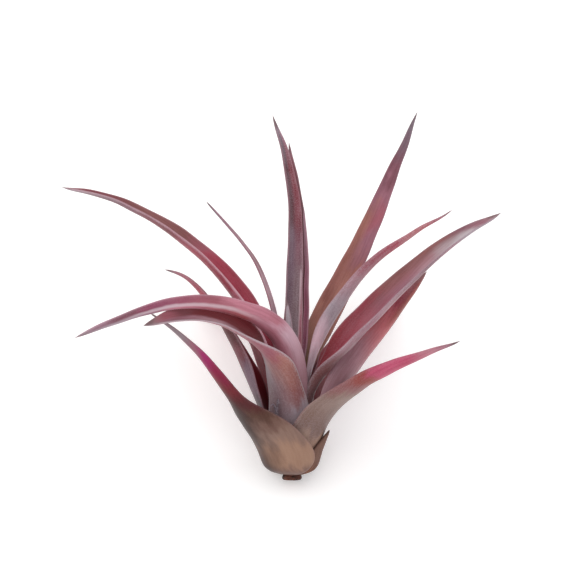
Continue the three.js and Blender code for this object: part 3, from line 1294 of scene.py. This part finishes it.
@dataclass(frozen=True)
class Lamp:
    """One soft square light that shines at the middle of the plant.

    Attributes:
        name: The lamp's name.
        place_mm: Its place in the plant's own frame.
        side: Its side in metres.
        power: Its power in watts.
        tint: Its colour.
        aim_mm: Height above the foot that it shines at.
    """

    name: str
    place_mm: tuple[float, float, float]
    side: float
    power: float
    tint: str
    aim_mm: float = 70.0

    def add(self, pose: Pose) -> None:
        """Adds the lamp to the scene.

        Args:
            pose: How the plant lies.
        """
        spot = pose.out(*self.place_mm)
        bpy.ops.object.light_add(type="AREA", location=spot)
        lamp = bpy.context.view_layer.objects.active
        lamp.name = self.name
        lamp.data.shape = "SQUARE"
        lamp.data.size = self.side
        lamp.data.energy = self.power
        lamp.data.color = linear(self.tint)[:3]
        aim = pose.out(0, 0, self.aim_mm) - spot
        lamp.rotation_euler = aim.to_track_quat("-Z", "Y").to_euler()


@dataclass
class Studio:
    """Camera, lights and floor.

    Attributes:
        pose: How the plant lies.
        distance_mm: Camera's distance from the stem.
        aim_mm: What the camera looks at, right of and above the foot.
        lens_mm: Focal length of the camera.
        near: Nearest distance that the camera sees, in metres.
        floor_size: Side of the floor in metres.
        floor_tones: The floor's two colours.
        floor_glow: Light that the floor gives off, which thins the shadow on it.
        air: Colour of the surroundings.
        air_glow: How bright they are.
        lamps: The soft lights.
    """

    pose: Pose
    distance_mm: float = 1000.0
    aim_mm: tuple[float, float] = (-3.2, 88.6)
    lens_mm: float = 138.9
    near: float = 0.01
    floor_size: float = 6.0
    floor_tones: tuple[str, str] = ("fbfbfb", "fefefe")
    floor_glow: float = 0.2
    air: str = "f6f6f6"
    air_glow: float = 0.68
    lamps: tuple[Lamp, ...] = (
        Lamp("key_light", (-250, -450, 900), 2.0, 7.2, "fffaf4"),
        Lamp("fill_light", (500, -900, 250), 1.6, 2.9, "f4f6ff"),
        Lamp("front_light", (-500, -1000, 100), 1.6, 2.5, "fffdfa"),
    )

    def camera(self) -> None:
        """Adds the camera at the photograph's place."""
        across, up = self.aim_mm
        bpy.ops.object.camera_add(location=self.pose.out(across, -self.distance_mm, up))
        camera = bpy.context.view_layer.objects.active
        camera.name = "studio_camera"
        upright = self.pose.turn @ Matrix.Rotation(math.pi / 2, 3, "X")
        camera.rotation_euler = upright.to_euler()
        camera.data.lens = self.lens_mm
        camera.data.sensor_width = SENSOR_MM
        camera.data.clip_start = self.near
        bpy.context.scene.camera = camera

    def floor(self) -> None:
        """Adds the pale floor, which glows a little like a light table."""
        bpy.ops.mesh.primitive_plane_add(size=self.floor_size, location=(0, 0, 0))
        floor = bpy.context.view_layer.objects.active
        floor.name = "studio_floor"
        material, bench, shader = Shop.start("studio_floor_finish")
        place = bench.add("ShaderNodeTexCoord").outputs["Object"]
        grain = bench.noise(place, 40.0, 2.0, 0.5)
        bench.feed(shader, {
            "Base Color": bench.mix(grain, *map(linear, self.floor_tones)),
            "Roughness": 0.9, "Specular IOR Level": 0.1,
            "Emission Color": linear("ffffff"), "Emission Strength": self.floor_glow,
        })
        floor.data.materials.append(material)

    def lights(self) -> None:
        """Adds the soft studio lights and the pale surroundings."""
        for lamp in self.lamps:
            lamp.add(self.pose)
        world = bpy.data.worlds.new("studio_air")
        bpy.context.scene.world = world
        world.use_nodes = True
        back = world.node_tree.nodes["Background"]
        back.inputs["Color"].default_value = linear(self.air)
        back.inputs["Strength"].default_value = self.air_glow
        view = bpy.context.scene.view_settings
        view.view_transform = "Standard"
        view.look = "None"


BACK_LOWEST = LeafFinish(
    outer=run("0 bark, 25 cocoa, 80 berry, 100 ash_rose"),
    inner=run("0 wine, 40 ruby, 80 berry, 100 ash_rose"))
BACK_MIDDLE = LeafFinish(
    outer=run("0 bark, 40 grape, 80 berry, 100 ash_rose"),
    inner=run("0 wine, 50 cherry, 100 ash_rose"))

LEAF_FINISHES: dict[str, tuple[str, LeafFinish]] = {
    # leaf_low_left: the tan stops near the root are partly a painted highlight on the bulb, and
    # the umber of outer_far is partly painted shade on its shaded side.
    "leaf_low_left": ("leaf_olive", LeafFinish(
        outer=run(
            "0 walnut, 5 bark, 11 tan, 17 tan, 23 pebble, 28 bark, 35 walnut, 42 oxblood, "
            "52 garnet, 61 raspberry, 70 fuchsia, 77 thistle, 82 dove, 100 dove"),
        outer_far=run(
            "0 walnut, 9 umber, 16 walnut, 23 umber, 40 umber, 46 oxblood, 55 garnet, "
            "62 raspberry, 69 fuchsia, 77 thistle, 82 dove, 100 dove"),
        inner=run("0 walnut, 50 oxblood, 65 raspberry, 100 ash_rose"),
        bloom=0.04, keel_scales_and_sheen=0.0, rim=0.03, rim_far=0.03, edging=0.1)),
    # leaf_low_right: the tan at the root is partly painted light, lifted where the bulb shades
    # it.
    "leaf_low_right": ("leaf_magenta", LeafFinish(
        outer=run(
            "0 tan, 17 tan, 24 bark, 42 pebble, 49 russet, 55 brick, 63 peony, 77 peony, "
            "87 rose, 94 thistle, 100 cocoa"),
        inner=run("0 cocoa, 25 pebble, 42 pebble, 52 russet, 63 peony, 85 rose, 100 cocoa"),
        bloom=0.22, keel_scales_and_sheen=0.0, rim=0.05, rim_far=0.1, edging=0.15)),
    "leaf_back_left": ("leaf_mauve", replace(
        BACK_LOWEST, outer=run("0 bark, 25 cocoa, 80 berry, 100 dove"))),
    "leaf_back_right": ("leaf_mauve", BACK_LOWEST),
    "leaf_left_lower": ("leaf_pink", LeafFinish(
        outer=run(
            "0 ash_rose, 17 silver, 23 fog, 30 russet, 40 sienna, 50 rosewood, 80 rosewood, "
            "100 petal"),
        outer_far=run("0 taupe, 27 ash_rose, 42 dove, 60 thistle, 100 petal"),
        inner=run("0 russet, 28 russet, 54 petal, 70 petal, 87 thistle, 94 thistle, 100 petal"),
        # Far half of the inner face: its own deep red, darkened further as painted shade where
        # leaf_left_arch covers it.
        inner_far=run("0 oxblood, 78 garnet, 86 mulberry, 93 rosewood, 100 petal"),
        turn=-0.05, meet=0.2, bloom=0.22, inner_bloom=0.02, keel_scales_and_sheen=0.0, rim=0.5, rim_far=0.05,
        margin=Hue.SILVER, edging=0.55, far_edge=0.1)),
    "leaf_right_under": ("leaf_tawny", LeafFinish(
        outer=run("0 cocoa, 42 petal, 66 coral, 76 brick, 88 brick, 100 russet"),
        outer_far=run("0 cocoa, 36 petal, 50 petal, 70 coral, 80 cherry, 100 russet"),
        inner=run("0 wine, 50 ruby, 100 brick"),
        bloom=0.14, keel_scales_and_sheen=0.0, rim=0.05, rim_far=0.1, edging=0.2)),
    "leaf_left_short": ("leaf_mauve", LeafFinish(
        outer=run(
            "0 dusk, 28 dusk, 33 heather, 40 heather, 49 mulberry, 57 oxblood, 70 cherry, "
            "83 crimson, 92 rosewood, 100 dove"),
        inner=run("0 umber, 43 garnet, 75 claret, 100 mauve"),
        bloom=0.16, inner_bloom=0.0, keel_scales_and_sheen=0.05, rim=0.15, rim_far=0.05)),
    # leaf_left_arch: the pearl stop at 35 is a painted highlight on the top of the arch, and its
    # strong midrib stripe is partly a painted highlight.
    "leaf_left_arch": ("leaf_pink", LeafFinish(
        outer=run(
            "0 bark, 25 petal, 35 pearl, 43 rose, 53 rose, 60 rosewood, 77 orchid, 84 grape, "
            "91 mauve, 100 dove"),
        outer_far=run("0 bark, 25 rose, 42 rose, 52 coral, 68 rose, 78 mauve, 87 fog, 100 dove"),
        inner=run("0 oxblood, 50 garnet, 100 grape"),
        bloom=0.12, keel_scales_and_sheen=0.5, rim=0.08, rim_far=0.2, margin=Hue.PEARL, edging=0.35)),
    "leaf_back_low_right": ("leaf_mauve", BACK_MIDDLE),
    "leaf_right_broad": ("leaf_red", LeafFinish(
        outer=run(
            "0 taupe, 29 russet, 40 petal, 46 thistle, 55 petal, 72 grape, 81 thistle, 90 fog, "
            "100 fog"),
        inner=run("0 oxblood, 36 ruby, 48 cherry, 62 russet, 80 russet, 89 grape, 100 petal"),
        # Far half of the inner face: the petal and silver stops are partly the leaf's own pale
        # bloom and partly a painted satin highlight.
        inner_far=run(
            "0 mulberry, 34 berry, 48 rosewood, 61 thistle, 72 petal, 85 silver, 94 thistle, "
            "100 petal"),
        turn=-0.5, bloom=0.3, inner_bloom=0.12, keel_scales_and_sheen=0.0, rim=0.0, rim_far=0.35, margin=Hue.FOG,
        edging=0.25)),
    "leaf_back_low_left": ("leaf_mauve", BACK_MIDDLE),
    "leaf_left_long": ("leaf_red", LeafFinish(
        outer=run(
            "0 taupe, 30 rose, 39 rose, 46 crimson, 55 crimson, 62 berry, 70 claret, 80 grape, "
            "92 ash_rose, 100 fog"),
        inner=run("0 claret, 30 berry, 42 coral, 90 mulberry, 100 petal"),
        inner_far=run(
            "0 garnet, 35 crimson, 52 crimson, 60 rosewood, 68 russet, 80 russet, 92 claret, "
            "100 petal"),
        bloom=0.12, inner_bloom=0.08, keel_scales_and_sheen=0.0, rim=0.5, rim_far=0.05, margin=Hue.PEARL,
        edging=0.4)),
    "leaf_right_tall": ("leaf_tawny", LeafFinish(
        outer=run("0 bark, 70 orchid, 100 slate"),
        inner=run(
            "0 bark, 22 tan, 37 peach, 44 sienna, 68 sienna, 76 thistle, 82 grape, 90 heather, "
            "100 slate"),
        inner_far=run(
            "0 bark, 22 tan, 36 peach, 50 sienna, 60 thistle, 66 rosewood, 74 thistle, 80 grape, "
            "90 heather, 100 slate"),
        turn=-0.25, bloom=0.12, inner_bloom=0.1, rim=0.03, rim_far=0.03, edging=0.1)),
    "leaf_back_upright": ("leaf_mauve", LeafFinish(
        outer=run("0 bark, 40 grape, 80 cherry, 100 ash_rose"),
        inner=run("0 wine, 50 claret, 100 ash_rose"))),
    "leaf_right_slender": ("leaf_silver", LeafFinish(
        outer=run(
            "0 heather, 22 fog, 33 pearl, 45 fog, 54 petal, 66 rosewood, 76 crimson, 84 coral, "
            "93 berry, 100 mulberry"),
        inner=run("0 dusk, 30 dove, 60 rosewood, 80 crimson, 100 cocoa"),
        bloom=0.6, inner_bloom=0.4, keel_scales_and_sheen=0.1, rim=0.2, rim_far=0.2)),
    "leaf_heart_left": ("leaf_pale", LeafFinish(
        outer=run("0 taupe, 40 dove, 100 fog"),
        inner=run("0 dusk, 50 cocoa, 100 dove"),
        bloom=0.5)),
    # leaf_left_thin: the pearl stops on the inner face are painted light, lifting a face that
    # lies in shade.
    "leaf_left_thin": ("leaf_mauve", LeafFinish(
        outer=run("0 taupe, 30 orchid, 60 orchid, 85 mauve, 100 slate"),
        inner=run("0 wine, 30 petal, 42 pearl, 56 pearl, 70 petal, 95 mauve, 100 slate"),
        bloom=0.18, inner_bloom=0.12, rim=0.05, rim_far=0.05, edging=0.15)),
    "leaf_centre_back": ("leaf_red", LeafFinish(
        outer=run("0 taupe, 50 mulberry, 100 cocoa"),
        inner=run("0 wine, 80 oxblood, 92 mulberry, 100 thistle"),
        bloom=0.12, inner_bloom=0.02, keel_scales_and_sheen=0.0, rim=0.05, rim_far=0.1)),
    "leaf_heart_right": ("leaf_pink", LeafFinish(
        outer=run("0 cocoa, 50 rosewood, 100 petal"),
        inner=run("0 wine, 50 claret, 100 rosewood"),
        bloom=0.3, margin=Hue.SILVER)),
    "leaf_centre_tall": ("leaf_silver", LeafFinish(
        outer=run("0 taupe, 40 dusk, 80 heather, 100 slate"),
        inner=run("0 taupe, 30 ash_rose, 45 heather, 62 heather, 70 wine, 80 wine, 100 slate"),
        inner_far=run(
            "0 taupe, 45 ash_rose, 58 grape, 70 claret, 84 claret, 94 mauve, 100 slate"),
        bloom=0.4, inner_bloom=0.5, keel_scales_and_sheen=0.0, rim=0.05, rim_far=0.1)),
    "leaf_centre_right": ("leaf_pink", LeafFinish(
        outer=run("0 taupe, 50 orchid, 100 mauve"),
        inner=run("0 grape, 50 orchid, 100 mauve"),
        bloom=0.26, inner_bloom=0.18)),
}


def grow_leaves(shop: Shop) -> None:
    """Builds and dresses the living leaves and the dried sheaths.

    Args:
        shop: Where materials are made.
    """
    for number, (node, (slot, finish)) in enumerate(LEAF_FINISHES.items(), 1):
        leaf = Leaf(node, slot, replace(finish, seed=LEAF_SEED_STEP * number))
        leaf.dress(leaf.build(), shop)
    dried = GrownShape(crease=0.9)
    for number, node in enumerate(("dry_sheath_right", "dry_sheath_back"), 1):
        finish = PaperyFinish(seed=SHEATH_SEED_STEP * number)
        sheath = Leaf(node, "papery_sheath", finish, dried)
        sheath.dress(sheath.build(), shop)


def main() -> None:
    """Builds the plant and the studio in order."""
    logging.basicConfig(level=logging.INFO, format="%(message)s")
    pose = Pose.read()
    studio = Studio(pose)
    studio.camera()
    shop = Shop()
    stem = Stem("stem", "stub_bark", StubFinish(pose.turn @ Vector((0, 0, 1)), pose.foot))
    stem.dress(stem.build(), shop)
    shoot = SideShoot("side_shoot", "leaf_pale", ShootFinish(), GrownShape(levels=1))
    shoot.dress(shoot.build(), shop)
    grow_leaves(shop)
    studio.floor()
    studio.lights()


if __name__ == "__main__":
    main()
